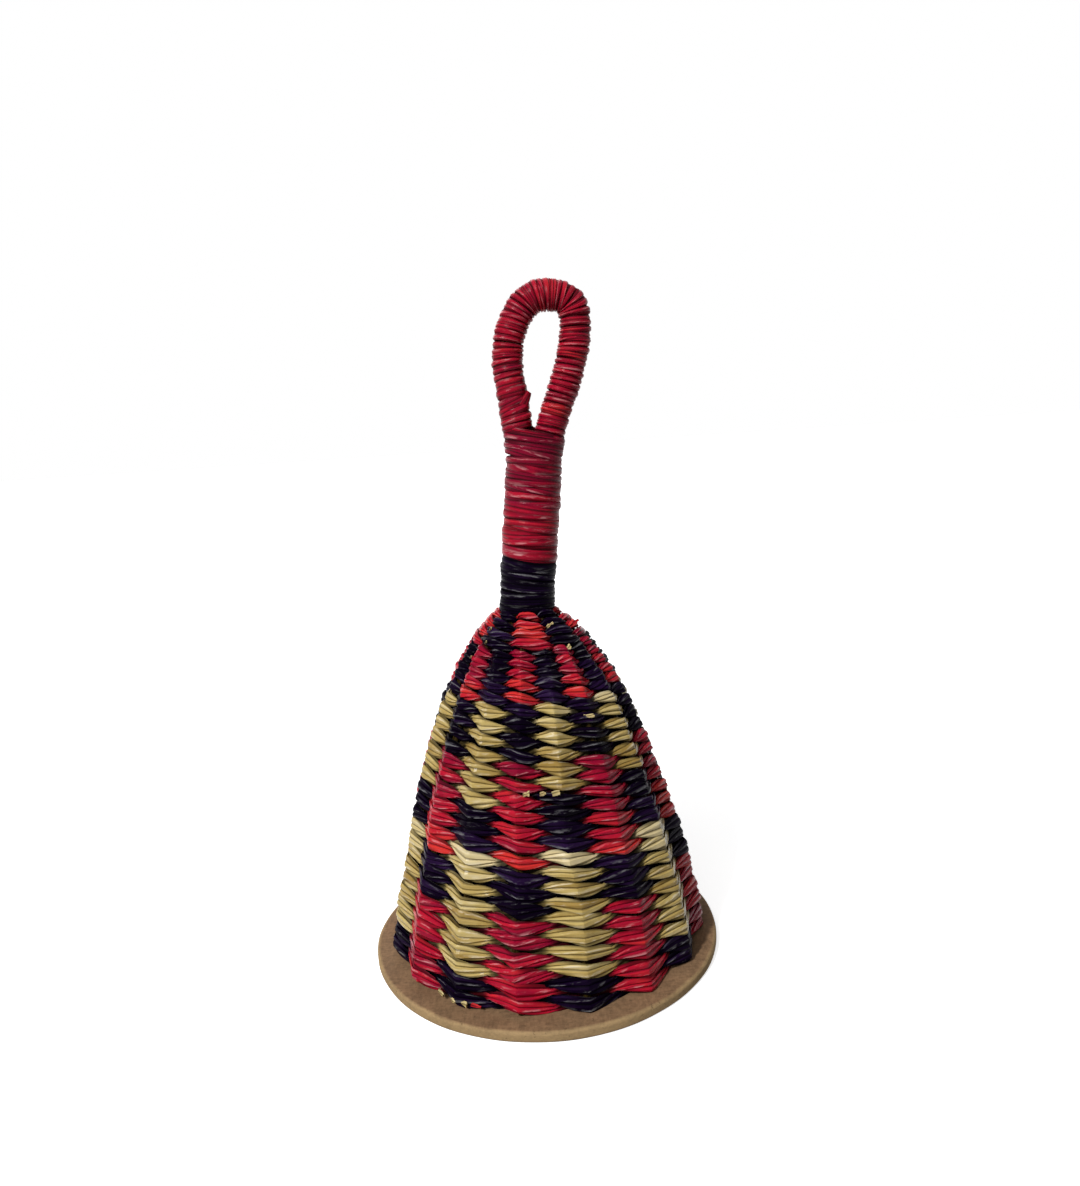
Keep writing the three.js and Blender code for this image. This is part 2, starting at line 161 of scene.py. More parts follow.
# Sines from a strand's middle over which its edges press on its neighbours and get painted shade.
WALL_PRESS, WRAP_PRESS, FREE_PRESS = (0.74, 1.0), (0.46, 0.78), (1.0, 2.0)

# Wall strand: height as a share of half a row where the strands cross, and what is added in front of a
# stake and behind one by a power of the wave. It runs out where half a row is less than so many mm.
CROSSING_TALL, CROSSING_THICK = 0.47, 1.3
FRONT_TALL, FRONT_POWER, BEHIND_TALL, BEHIND_POWER = 0.59, 0.8, 0.66, 0.7
PAIR_FLATNESS, PAIR_BEHIND, SINGLE_SHARPNESS, SINGLE_BEHIND = 2.2, 0.3, 0.97, 0.85
RUN_OUT_SINK, SINK_UNDER, THIN_UNDER, THINNEST = 1.6, 0.9, 0.8, 0.1
# Painted shade where the strand dips behind a stake: the range of the wave over which it fades out, and its
# most.
SUNK_WAVE, SUNK_MOST = (-0.32, 0.13), 0.95
WALL_LOBES, WALL_TWIST, WALL_SEED = (0.27, 0.15, 0.22, 0.21, 0.15), 1.8, 100

# Strayings: number added to the seed, reach, and spacing in stakes or turns.
WALL_STRAYS = {
    "slant": (0, 0.12, 1.0), "rise": (1, 0.18, 1.0), "proud": (2, 0.22, 1.0), "tall": (3, 0.14, 1.0),
    "twist": (4, 1.1, 1.6)}
PLY_TONE, ROW_TONE, PLY_RIPPLE = (10, 0.18, 2.3), (6, 0.13, 2.0), (20, 0.07, 0.23)
NECK_STRAYS = {
    "lean": (6, 0.14, 1.1), "rise": (0, 0.12, 0.31), "radius": (1, 0.15, 0.23), "tall": (2, 0.12, 0.37),
    "twist": (3, 0.7, 0.5), "tone": (4, 0.12, 1.3), "fine_tone": (5, 0.12, 0.4)}
LOOP_STRAYS = {
    "lean": (6, 0.10, 1.2), "rise": (0, 0.08, 0.7), "radius": (1, 0.13, 0.45), "tall": (2, 0.10, 0.6),
    "twist": (3, 0.6, 0.6), "tone": (4, 0.09, 1.6), "fine_tone": (5, 0.07, 0.5)}

# Neck wraps: colour, first and last height, seed, tones at both ends, slope at the foot and at the top.
NECK_WRAPS = (
    ("purple", -0.3, 14.0, 900, (0.4, 0.4), math.tan(math.radians(HANDLE_LEAN)), 0.0),
    ("red", 14.2, 48.6, 940, (0.42, 0.02), 0.0, -0.12),
)
WRAP_LOBES, WRAP_TWIST = (0.40, 0.25, 0.35), 0.9
NECK_RINGS, NECK_CREASE, NECK_LEAN_TURN = 56, 0.28, 0.8
LOOP_RINGS, LOOP_CREASE, LOOP_LEAN_TURN = 44, 0.22, 0.7
LOOP_WRAP_FROM, LOOP_WRAP_TO, LOOP_SEED = 46.6, 48.0, 980

# Paleness of the painted glints on the fold ridges and gloss level of each straw, and shares of brown left
# on the stakes.
STRAW_GLINT_AND_GLOSS = {"red": (0.28, 0.07), "purple": (0.2, 0.015), "straw": (0.36, 0.12)}
# The stakes are painted dark, as painted shade for where they lie between the strands.
STAKE_PAINTED_SHADE = (0.07, 0.14, 0.27)


def linear(red, green, blue):
    """Linear colour from 8-bit display values, by the usual display curve."""
    share = np.array([red, green, blue]) / 255
    low, high = share / 12.92, ((share + 0.055) / 1.055) ** 2.4
    return tuple(float(x) for x in np.where(share <= 0.04045, low, high))


def colour(name, description, *display):
    """A colour property with its default given as 8-bit display values."""
    return bpy.props.FloatVectorProperty(
        name=name, description=description, subtype="COLOR", size=3, min=0, max=1,
        default=linear(*display))


def length(name, description, default_mm):
    """A length property with its default given in millimetres."""
    return bpy.props.FloatProperty(
        name=name, description=description, default=default_mm * MM, min=0, unit="LENGTH")


def factor(name, description, default):
    """A plain share from 0 to 1."""
    return bpy.props.FloatProperty(
        name=name, description=description, default=default, min=0, max=1, subtype="FACTOR")


def strength(name, description, default):
    """Strength of a light."""
    return bpy.props.FloatProperty(
        name=name, description=description, default=default, min=0, subtype="UNSIGNED")


def count(name, description, default):
    """A whole number of like things."""
    return bpy.props.IntProperty(
        name=name, description=description, default=default, min=1, subtype="UNSIGNED")


class CAXIXI_PG_weave(bpy.types.PropertyGroup):
    """Sizes of the twined strands of the wall."""

    thickness: length("Strand thickness", "Thickness of a strand where it crosses a stake", 1.75)
    crease: factor("Crease depth", "How far the folds between the straws of a strand draw in", 0.46)
    uneven: factor("Unevenness", "How much the handwork strays from a regular pattern", 0.75)
    steps: count("Steps per stake", "Sections of a strand between two stakes", 16)


class CAXIXI_PG_wraps(bpy.types.PropertyGroup):
    """Sizes of the wraps on the neck and the loop."""

    purple_turns: count("Purple turns", "Turns of the purple wrap at the foot of the neck", 8)
    red_turns: count("Red turns", "Turns of the red wrap on the neck", 19)
    loop_turns: count("Loop turns", "Turns of the wrap round the finger loop", 54)
    neck_radius: length("Neck radius", "Outside radius of the wrapped neck", 7.8)
    loop_radius: length("Loop tube radius", "Outside radius of the wrapped loop", 4.3)
    thickness: length("Wrap thickness", "Thickness of the wrapping strand", 1.3)


class CAXIXI_PG_colours(bpy.types.PropertyGroup):
    """Colours of the straw, board and seeds."""

    red_low: colour("Red, deep", "Crimson side of the red straw", 140, 8, 46)
    red: colour("Red", "Usual red of the dyed straw", 200, 24, 50)
    red_high: colour("Red, warm", "Warm side of the red straw", 236, 60, 50)
    purple_low: colour("Purple, deep", "Darkest purple of the dyed straw", 7, 1, 13)
    purple: colour("Purple", "Usual purple of the dyed straw", 16, 3, 28)
    purple_high: colour("Purple, worn", "Rubbed purple of the dyed straw", 46, 24, 64)
    straw_low: colour("Straw, brown", "Brown side of the bare straw", 165, 134, 68)
    straw: colour("Straw", "Usual colour of the bare straw", 211, 187, 116)
    straw_high: colour("Straw, pale", "Pale side of the bare straw", 240, 222, 172)
    board: colour("Board face", "Face of the fibreboard", 133, 104, 76)
    board_edge: colour("Board edge", "Cut edge of the fibreboard", 165, 137, 98)
    seed: colour("Seed coat", "Usual colour of the loose seeds", 96, 50, 28)
    seed_high: colour("Seed coat, pale", "Pale flecks on the loose seeds", 150, 96, 58)


class CAXIXI_PG_stage(bpy.types.PropertyGroup):
    """Light and floor."""

    key: strength("Key light", "Strength of the small light from the front left", 2.5)
    soft: strength("Soft light", "Strength of the wide light from the front left", 0.7)
    back: strength("Back light", "Strength of the light from behind", 0.8)
    sky: strength("Sky light", "Strength of the even light from all round", 0.08)
    floor: colour("Floor", "Pale floor that the rattle stands on", 250, 250, 250)


# Node materials.


def opaque(tint):
    """A colour with full cover."""
    return (*tint, 1.0)


def dimmed(tint, share):
    """A colour brought down to a share of itself."""
    return tuple(share * x for x in tint)


def paled(tint, share):
    """A colour brought nearer to white by a share."""
    return tuple(x + share * (1 - x) for x in tint)


class Nodes:
    """A node tree being put together."""

    def __init__(self, tree):
        self.tree = tree

    def add(self, kind, inputs=None, **settings):
        """Adds a node. An input is either another node's output, which is linked, or a plain value."""
        node = self.tree.nodes.new(kind)
        for key, value in settings.items():
            setattr(node, key, value)
        self.set(node, inputs or {})
        return node

    def set(self, node, inputs):
        for key, value in inputs.items():
            if isinstance(value, bpy.types.NodeSocket):
                self.tree.links.new(value, node.inputs[key])
            else:
                node.inputs[key].default_value = value

    def math(self, operation, *values):
        return self.add("ShaderNodeMath", dict(enumerate(values)), operation=operation).outputs[0]

    def seen(self):
        """1 for a ray from the camera, a reflection or a see-through face, and 0 for thrown light."""
        ray = self.add("ShaderNodeLightPath").outputs
        seen = self.math("MAXIMUM", ray["Is Camera Ray"], ray["Is Glossy Ray"])
        return self.math("MAXIMUM", seen, ray["Is Transmission Ray"])


class Finish(Nodes):
    """A material being put together from nodes round one Principled shader."""

    def __init__(self, name):
        self.material = bpy.data.materials.new(name)
        self.material.use_nodes = True
        super().__init__(self.material.node_tree)
        self.shader = self.tree.nodes["Principled BSDF"]

    def attribute(self, name, output="Fac"):
        return self.add("ShaderNodeAttribute", attribute_name=name).outputs[output]

    def place(self):
        """Place in the piece, in metres."""
        return self.add("ShaderNodeTexCoord").outputs["Object"]

    def mix(self, share, first, second):
        """Mix of two colours, each an output of another node or a plain colour."""
        ends = [tint if isinstance(tint, bpy.types.NodeSocket) else opaque(tint) for tint in (first, second)]
        node = self.add("ShaderNodeMix", {0: share, 6: ends[0], 7: ends[1]}, data_type="RGBA")
        return node.outputs[2]

    def spread(self, value, low, high, start=0.0, end=1.0):
        """The value's range from start to end, carried over to the range from low to high."""
        return self.add("ShaderNodeMapRange", {0: value, 1: start, 2: end, 3: low, 4: high}).outputs[0]

    def centred(self, value, reach):
        """A value from 0 to 1, carried over to a reach on both sides of 0."""
        return self.math("MULTIPLY_ADD", value, 2 * reach, -reach)

    def noise(self, vector, scale, stretch=(1, 1, 1), detail=3.0):
        """Noise of so many waves a unit, times the stretch in each direction."""
        turned = self.add("ShaderNodeMapping", {"Vector": vector, "Scale": stretch})
        made = self.add("ShaderNodeTexNoise", {
            "Vector": turned.outputs[0], "Scale": scale, "Detail": detail, "Roughness": 0.6})
        return made.outputs[0]

    def ramp(self, value, stops):
        """Colours joined along a value, from pairs of place and colour."""
        node = self.add("ShaderNodeValToRGB", {0: value})
        elements = node.color_ramp.elements
        elements[0].position, elements[0].color = stops[0][0], opaque(stops[0][1])
        elements[1].position, elements[1].color = stops[-1][0], opaque(stops[-1][1])
        for place, tint in stops[1:-1]:
            elements.new(place).color = opaque(tint)
        return node.outputs[0]

    def bump(self, height, amount, distance_mm):
        node = self.add("ShaderNodeBump", {
            "Height": height, "Strength": amount, "Distance": distance_mm * MM})
        self.set(self.shader, {"Normal": node.outputs[0]})


def strand_finish(name, low, middle, high, glint_paleness, specular):
    """Dyed or bare straw that follows its strand. Its colour is a ramp over the strand's tone plus fibre
    noise, which is drawn out along the strand. The fold ridges are painted paler here and there, as painted
    glints. The creases are darker, as painted shade. What lies sunk in the work is darkest, as painted
    shade, and dull."""
    made = Finish(name)
    grain = made.attribute("grain", "Vector")
    tone, fold, sunk = (made.attribute(key) for key in ("tone", "fold", "sunk"))
    streaks = made.noise(grain, 1.0, (0.10, 1.6, 1.6))
    fibres = made.noise(grain, 1.0, (0.22, 5.5, 5.5), 4.0)
    blotch = made.noise(grain, 1.0, (0.25, 0.25, 0.25))
    strayed = made.math("ADD", tone, made.centred(streaks, 0.4))
    tint = made.ramp(
        made.math("ADD", strayed, made.centred(blotch, 0.3)), ((0.0, low), (0.5, middle), (1.0, high)))
    tint = made.mix(made.spread(fibres, 0.0, 0.45), tint, dimmed(low, 0.8))
    # Painted highlights: pale glints along the fold ridges, in patches along the strand.
    worn = made.spread(made.noise(grain, 1.0, (0.24, 0.9, 0.9)), 0.0, 0.8, 0.50, 0.64)
    ridge = made.spread(fold, 0.0, 1.0, 0.74, 0.98)
    tint = made.mix(made.math("MULTIPLY", worn, ridge), tint, paled(middle, glint_paleness))
    # Painted shade in the creases between the plies.
    tint = made.mix(made.spread(fold, 0.95, 0.0, -1.0, 0.1), tint, dimmed(low, 0.14))
    # Painted shade: what lies sunk in the work, or presses on its neighbours, is made near black.
    tint = made.mix(made.math("MULTIPLY", sunk, 0.97), tint, dimmed(low, 0.02))
    rough = made.math("ADD", made.spread(fibres, 0.14, 0.36), made.math("MULTIPLY", sunk, 0.6))
    made.set(made.shader, {"Base Color": tint, "Roughness": rough, "Specular IOR Level": specular})
    made.bump(made.math("ADD", fibres, made.math("MULTIPLY", streaks, 1.5)), 0.2, 0.12)
    return made.material


def mottled_finish(name, scale, stretch, detail, stops, rough, bump):
    """A ramp of colours over a noise through the whole piece, which also drives roughness and bumps."""
    made = Finish(name)
    mottle = made.noise(made.place(), scale, stretch, detail)
    made.set(made.shader, {
        "Base Color": made.ramp(mottle, stops), "Roughness": made.spread(mottle, *rough)})
    made.bump(mottle, *bump)
    return made.material


def board_finish(name, face, edge):
    """Fibreboard: a fibrous grey-brown face and a paler cut edge, told apart by the distance from the
    middle, both with pressed fibres and dark specks."""
    made = Finish(name)
    place = made.place()
    flat = made.add("ShaderNodeVectorMath", {0: place, 1: (1, 1, 0)}, operation="MULTIPLY")
    reach = made.add("ShaderNodeVectorMath", {0: flat.outputs[0]}, operation="LENGTH").outputs["Value"]
    cloud = made.noise(place, 110.0, detail=4.0)
    fibres, crossed = (made.noise(place, 1500.0, way, 5.0) for way in ((1, 0.35, 1), (0.35, 1, 1)))
    weave = made.math("MULTIPLY", made.math("ADD", fibres, crossed), 0.5)
    grain = made.math("ADD", made.math("MULTIPLY", weave, 0.75), made.math("MULTIPLY", cloud, 0.25))
    top, cut = (
        made.ramp(grain, ((0.36, dimmed(tint, dark)), (0.5, tint), (0.64, dimmed(tint, light))))
        for tint, dark, light in ((face, 0.62, 1.4), (edge, 0.72, 1.22)))
    frayed = made.math("ADD", reach, made.centred(cloud, 0.7 * MM))
    cut_from, cut_to = ((BOARD_RADIUS - inset) * MM for inset in (1.3, 0.5))
    tint = made.mix(made.spread(frayed, 0.0, 1.0, cut_from, cut_to), top, cut)
    specks = made.spread(made.noise(place, 900.0, detail=2.0), 0.5, 0.0, 0.28, 0.33)
    tint = made.mix(specks, tint, dimmed(face, 0.3))
    made.set(made.shader, {
        "Base Color": tint, "Roughness": made.spread(weave, 0.7, 0.95), "Specular IOR Level": 0.25})
    made.bump(weave, 0.6, 0.2)
    return made.material


def floor_finish(name, tint):
    """Pale floor. Seen by the camera or in a reflection it glows a little towards white; for the light
    that it throws back on to the object it counts as a dark grey."""
    made = Finish(name)
    seen = made.seen()
    made.set(made.shader, {
        "Base Color": made.mix(seen, dimmed(tint, 0.25), tint),
        "Roughness": 1.0, "Specular IOR Level": 0.0,
        "Emission Color": opaque(tint), "Emission Strength": made.math("MULTIPLY", seen, 0.75)})
    return made.material


# Meshes.


def add_object(name, data):
    """A new object of the scene."""
    made = bpy.data.objects.new(name, data)
    bpy.context.scene.collection.objects.link(made)
    return made


def add_piece(name, rings, material, attributes=None, creased=None):
    """A closed mesh object from a grid of rings of points, in millimetres: a quad between each pair of
    neighbours and one face on each end. Faces that would point inwards are turned round, by the sign of
    the volume, which is the sum of the tetrahedra from the origin to the quads."""
    count_rings, sides = rings.shape[:2]
    points = rings.reshape(-1, 3)
    ring, side = np.arange(count_rings - 1)[:, None] * sides, np.arange(sides)[None, :]
    after = (side + 1) % sides
    quads = np.stack([ring + side, ring + after, ring + after + sides, ring + side + sides], -1)
    quads = quads.reshape(-1, 4)
    ends = np.stack([np.arange(sides)[::-1], np.arange(sides) + (count_rings - 1) * sides])
    a, b, c, d = (points[quads[:, corner]] for corner in range(4))
    volume = np.einsum("ij,ij->", a, np.cross(b, c)) + np.einsum("ij,ij->", a, np.cross(c, d))
    if volume < 0:
        quads, ends = quads[:, ::-1], ends[:, ::-1]
    mesh = bpy.data.meshes.new(name)
    mesh.vertices.add(len(points))
    mesh.vertices.foreach_set("co", np.ravel(points * MM).astype(np.float32))
    mesh.loops.add(quads.size + ends.size)
    mesh.loops.foreach_set("vertex_index", np.concatenate((quads.ravel(), ends.ravel())).astype(np.int32))
    mesh.polygons.add(len(quads) + len(ends))
    starts = np.concatenate((4 * np.arange(len(quads)), quads.size + sides * np.arange(len(ends))))
    mesh.polygons.foreach_set("loop_start", starts.astype(np.int32))
    mesh.update(calc_edges=True)
    mesh.polygons.foreach_set("use_smooth", np.ones(len(starts), bool))
    for key, values in (attributes or {}).items():
        kind, field = ("FLOAT_VECTOR", "vector") if values.ndim == 3 else ("FLOAT", "value")
        layer = mesh.attributes.new(key, kind, "POINT")
        layer.data.foreach_set(field, np.ravel(values).astype(np.float32))
    if creased is not None:
        pairs = np.empty(2 * len(mesh.edges), np.int32)
        mesh.edges.foreach_get("vertices", pairs)
        sharp = creased[pairs % sides].reshape(-1, 2).all(1)
        mesh.attributes.new("sharp_edge", "BOOLEAN", "EDGE").data.foreach_set("value", sharp)
    mesh.materials.append(material)
    return add_object(name, mesh)


def running(steps):
    """Places along a line from the lengths of its steps: 0 and their sums."""
    return np.concatenate(([0.0], np.cumsum(steps)))


def round_axis(turn):
    """Level unit vectors at a turn round the axis from the front: outwards and sideways."""
    sine, cosine, level = np.sin(turn), np.cos(turn), np.zeros_like(turn)
    return np.stack([sine, -cosine, level], -1), np.stack([cosine, sine, level], -1)


class Section:
    """Cross-section of a strand of folded straw. Its radius is 1 - depth x (1 - bulge). Over each lobe the
    bulge climbs steeply from a crease to a fold, and flat facets lead from there to the next crease."""

    LOBE = ((0.0, 0.0), (0.10, 0.62), (0.36, 1.0), (0.72, 0.86))

    def __init__(self, shares, depth):
        x, bulge = np.array(self.LOBE).T
        starts = running(shares)[:-1]
        self.angle = 2 * np.pi * (starts[:, None] + np.array(shares)[:, None] * x).ravel()
        self.bulge = np.tile(bulge, len(shares))
        self.radius = 1 - depth * (1 - self.bulge)
        self.lobe = np.repeat(np.arange(len(shares)), len(x))
        self.sharp = np.tile(x != x[1], len(shares))


def wander(place, stray, seed, scale=1.0):
    """Smooth random strayings along a strand: seeded values at even places, joined by cosine steps. The
    stray gives what is added to the seed, the reach and the spacing."""
    offset, reach, spacing = stray
    values = np.random.default_rng(seed + offset).normal(size=WANDER_VALUES)
    scaled = np.asarray(place) / spacing + WANDER_START
    before = np.floor(scaled).astype(int)
    ease = 0.5 - 0.5 * np.cos(np.pi * (scaled - before))
    drawn = values[before] * (1 - ease) + values[before + 1] * ease
    return reach * scale * np.clip(drawn, -WANDER_LIMIT, WANDER_LIMIT)


def strayings(place, table, seed, scale=1.0):
    """The strayings of a table along a strand, by their names."""
    return {key: wander(place, stray, seed, scale) for key, stray in table.items()}


def by_lobe(section, place, stray, seed):
    """A straying of its own for each lobe of a section, carried over to the section's points."""
    lobes = [wander(place, stray, seed + lobe) for lobe in range(section.lobe[-1] + 1)]
    return np.stack(lobes, -1)[:, section.lobe]


def smooth_step(value, low, high):
    """0 up to low, 1 from high on, and 3t^2 - 2t^3 between."""
    t = np.clip((value - low) / (high - low), 0, 1)
    return t * t * (3 - 2 * t)


class Strand:
    """A section carried along a path. Each ring's point = middle + thickness x radius x cos(angle + twist)
    outwards + height x radius x sin(angle + twist) along the surface that the strand lies on. The
    radius ripples by a share. Its sunk share is where it dips into the work, or where its edges, by that
    sine, press on its neighbours. The finish darkens the sunk share as painted shade."""

    def __init__(
            self, section, middle, outward, along, thick, tall, twist, tone, sunk=0.0, press=WALL_PRESS,
            ripple=0.0):
        spin = section.angle[None, :] + twist[:, None]
        radius = section.radius * (1 + ripple)
        out = (thick[:, None] * radius * np.cos(spin))[..., None]
        up = (tall[:, None] * radius * np.sin(spin))[..., None]
        self.rings = middle[:, None, :] + out * outward[:, None, :] + up * along[:, None, :]
        run = running(np.linalg.norm(np.diff(middle, axis=0), axis=1))[:, None]
        turn = np.broadcast_to(section.angle, spin.shape)
        spread = tall.mean() * 1.2
        self.grain = np.stack([
            np.broadcast_to(run, spin.shape), spread * np.cos(turn), spread * np.sin(turn)], -1)
        # Painted shade where the edges press on the neighbours, added to the sunk share.
        pressed = 0.8 * smooth_step(np.abs(np.sin(spin)), *press)
        self.sunk = np.clip(np.broadcast_to(sunk, run.shape[:1])[:, None] + pressed, 0, 1)
        self.fold = np.broadcast_to(2 * section.bulge - 1, spin.shape)
        self.tone = np.broadcast_to(tone, spin.shape)
        self.creased = section.sharp

    def piece(self, name, material, first=0, last=None):
        """One length of the strand, from ring to ring, as a closed mesh."""
        cut = slice(first, None if last is None else last + 1)
        return add_piece(name, self.rings[cut], material, {
            "grain": self.grain[cut], "fold": self.fold[cut], "sunk": self.sunk[cut],
            "tone": self.tone[cut]}, self.creased)


def fit(made, slot, *nodes):
    """Puts a piece on the rattle's body, in the place of its solids, which it hides. The slot is not used.
    """
    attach(made, BODY)
    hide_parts(*nodes)


# Twined wall.


def stake_stray(angle, height_share):
    """Degrees by which the front stakes lie off their even places, faded out towards the sides."""
    from_front = np.mod(angle + 180, 360) - 180
    left = np.interp(from_front, STRAY_ANGLES, (0, 1, 0, 0))
    right = np.interp(from_front, STRAY_ANGLES, (0, 0, 1, 0))
    return (left * np.interp(height_share, STRAY_HEIGHTS, STRAY_LEFT)
            + right * np.interp(height_share, STRAY_HEIGHTS, STRAY_RIGHT))


class Meridian:
    """Outer face of the dome: radius = foot radius x (1 - (cut t)^belly)^shoulder, while the height grows
    evenly with t. Places on it are shares of its length."""

    def __init__(self):
        cut = (1 - (CROWN_RADIUS / FOOT_RADIUS) ** (1 / SHOULDER)) ** (1 / BELLY)
        self.t = np.linspace(0, 1, 3001)
        self.radius = FOOT_RADIUS * (1 - (cut * self.t) ** BELLY) ** SHOULDER
        self.height = FOOT_Z + DOME_HEIGHT * self.t
        slope_r, slope_z = np.gradient(self.radius), np.gradient(self.height)
        size = np.hypot(slope_r, slope_z)
        self.along_r, self.along_z = slope_r / size, slope_z / size
        laid = running(np.hypot(np.diff(self.radius), np.diff(self.height)))
        self.length = laid[-1]
        self.share = laid / self.length

    def place(self, angle, share, depth, drawn_in=1.0):
        """Points at a depth under the face, and the directions out of it, up along it and sideways. The
        radius is scaled by drawn_in, each side bulges by its table times the squared sine of the angle, and
        the whole sways to +X by a half wave over the height."""
        t, radius, height, along_r, along_z = (
            np.interp(share, self.share, values)
            for values in (self.t, self.radius, self.height, self.along_r, self.along_z))
        turn = np.radians(angle + stake_stray(angle, t))
        flat, sideways = round_axis(turn)
        sine = flat[:, 0]
        outward = along_z[:, None] * flat - along_r[:, None] * UP
        along = along_r[:, None] * flat + along_z[:, None] * UP
        right = np.interp(t, BULGE_HEIGHTS, BULGES_RIGHT)
        left = np.interp(t, BULGE_HEIGHTS, BULGES_LEFT)
        bulge = np.where(sine > 0, right, left) * sine**2
        reach = radius * drawn_in + bulge
        points = reach[:, None] * flat + height[:, None] * UP - depth[:, None] * outward
        points[:, 0] += DOME_SWAY * np.sin(np.pi * t)
        return points, outward, along, sideways


def share_at_row(rows):
    """Share of the meridian that so many rows fill, counted from the foot. Rows flatten to the crown."""
    t = rows / ROWS
    return t * (1 + ROW_PITCH_SPREAD * (1 - t))


def wall_middle(share):
    """Depth of the stakes' middle lines under the outer face."""
    return WALL_STRAND + SEAT_GAP + (STAKE_FOOT + (STAKE_TIP - STAKE_FOOT) * share) / 2


def crossings():
    """Angles at which the strands pass stakes, the number of each, and the angle from which stakes are
    passed one by one. Strand one is in front at the even numbers and strand two at the odd ones. In the
    crown rows the angle is the middle of a group of stakes, and below them that of each stake."""
    angles = [
        360 * (turn - 1) + STAKE_PHASE + STAKE_STEP * np.mean(group)
        for turn in range(CROWN_ROWS + 1) for number, group in enumerate(CROWN_GROUPS)
        if turn < CROWN_ROWS or number <= LAST_CROWN_GROUP]
    next_stake = STAKES * (CROWN_ROWS - 1) + CROWN_GROUPS[LAST_CROWN_GROUP][-1] + 1
    single = STAKE_PHASE + STAKE_STEP * np.arange(next_stake, STAKES * (ROWS + 1))
    knots = np.concatenate((angles, single))
    return knots, np.arange(len(knots), dtype=float), 0.5 * (angles[-1] + single[0])


def straight(angle):
    """Share of the radius that is left where the strands run straight from stake to stake."""
    from_middle = np.mod(angle - STAKE_PHASE, STAKE_STEP) - STAKE_STEP / 2
    return np.cos(np.radians(STAKE_STEP / 2)) / np.cos(np.radians(from_middle))


def pulled(cosine, sharp):
    """Rounded triangle wave from a cosine: the arc sine of a share of it, scaled back to 1."""
    return np.arcsin(sharp * cosine) / np.arcsin(sharp)


def twine(number, settings, meridian):
    """One of the two strands of the wall, from the crown to the foot, with its angle at each ring.

    The strand winds down one row a turn. Along its row it goes in front of one stake and behind the next,
    as a double helix with the other strand: depth = middle of the wall - reach x wave(phase), and height
    = middle of the row - a quarter of the row x sin(phase). It is flat and tall in front of a stake and
    behind one, and thicker and half as tall where the strands cross. The rows at both ends run out to
    nothing and sink in."""
    angle = np.arange(-STAKES * settings.steps, STAKES * ROWS * settings.steps + 1)
    angle = angle * STAKE_STEP / settings.steps + STAKE_PHASE
    knots, numbers, singles_from = crossings()
    place = np.interp(angle, knots, numbers)
    phase = np.pi * (place - number)
    front, cross = np.cos(phase), np.sin(phase)
    raised, size = np.maximum(front, 0), np.abs(front)
    paired = angle < singles_from
    seed = WALL_SEED * (number + 1)
    strays = strayings(place, WALL_STRAYS, seed, settings.uneven)

    top = np.clip(ROWS - angle / 360, 0, ROWS)
    bottom = np.clip(ROWS - 1 - angle / 360, 0, ROWS)
    share_top, share_bottom = share_at_row(top), share_at_row(bottom)
    half_row = 0.5 * (share_top - share_bottom) * meridian.length
    row = 1 + (angle + 180) / 360
    shift = -0.5 * half_row * cross * (1 + strays["slant"])
    shift += half_row * raised * strays["rise"]
    shift += np.interp(row, LIFT_ROWS, LIFTS)
    share = 0.5 * (share_top + share_bottom) + shift / meridian.length

    thin = 0.5 * settings.thickness / MM
    middle = wall_middle(share)
    past_pair = np.tanh(PAIR_FLATNESS * front) / np.tanh(PAIR_FLATNESS)
    wave = np.where(paired, past_pair, pulled(front, SINGLE_SHARPNESS))
    behind = np.where(paired, PAIR_BEHIND, SINGLE_BEHIND)
    reach = np.where(wave > 0, 1.0, behind) * (middle - thin)
    depth = middle - reach * wave - raised * strays["proud"]
    depth += RUN_OUT_SINK * (1 - np.clip(half_row / SINK_UNDER, 0, 1))
    path, outward, along, _ = meridian.place(angle, share, depth, np.where(paired, 1.0, straight(angle)))

    grown = np.where(front > 0, FRONT_TALL * size**FRONT_POWER, BEHIND_TALL * size**BEHIND_POWER)
    tall = half_row * (CROSSING_TALL + grown) * (1 + raised * strays["tall"])
    run_out = np.clip(half_row / THIN_UNDER, THINNEST, 1)
    thick = thin * (CROSSING_THICK - (CROSSING_THICK - 1) * size) * run_out
    section = Section(WALL_LOBES, settings.crease)
    twist = WALL_TWIST * place + strays["twist"]
    plies = by_lobe(section, place, PLY_TONE, seed)
    tone = np.interp(row, TONE_ROWS, TONES) + wander(place, ROW_TONE, seed)
    # Painted shade where the strand dips behind a stake.
    sunk = SUNK_MOST * (1 - smooth_step(front, *SUNK_WAVE))
    ripple = by_lobe(section, place, PLY_RIPPLE, seed)
    return angle, Strand(
        section, path, outward, along, thick, tall, twist, tone[:, None] + plies, sunk, ripple=ripple)


def cut_angle(number, row):
    """Angle at which a run of rows ends: behind a stake at the back of the dome. The late cut runs on to
    the front of the next row."""
    if (number, row) == LATE_CUT:
        return 360 * row + STAKE_PHASE
    return 360 * (row - 1) + STAKE_PHASE + STAKE_STEP * (STAKES // 2 + 1 + number)


def loose_end(meridian, angle, row, turn, drop, start, reach, number):
    """A cut end: a short straight strand that leaves the wall at a slant, so that its angle, row and depth
    change evenly along it."""
    along_it = np.linspace(0, 1, 7)
    share = share_at_row(ROWS - row - drop * along_it)
    depth = start - (start + reach) * along_it
    turned = angle + turn * along_it
    path, outward, up, _ = meridian.place(turned, share, depth, straight(turned))
    thick = 0.4 * (1 + wander(along_it, (700, 0.3, 0.3), number))
    tall = 0.58 * (1 + wander(along_it, (720, 0.3, 0.3), number))
    twist = 0.3 * math.sin(number) + 0.4 * along_it
    # Painted shade on the cut end, fading out from the wall.
    sunk, section = 0.4 * (1 - along_it), Section(*CUT_SECTION)
    return Strand(section, path, outward, up, thick, tall, twist, 0.8, sunk, FREE_PRESS)


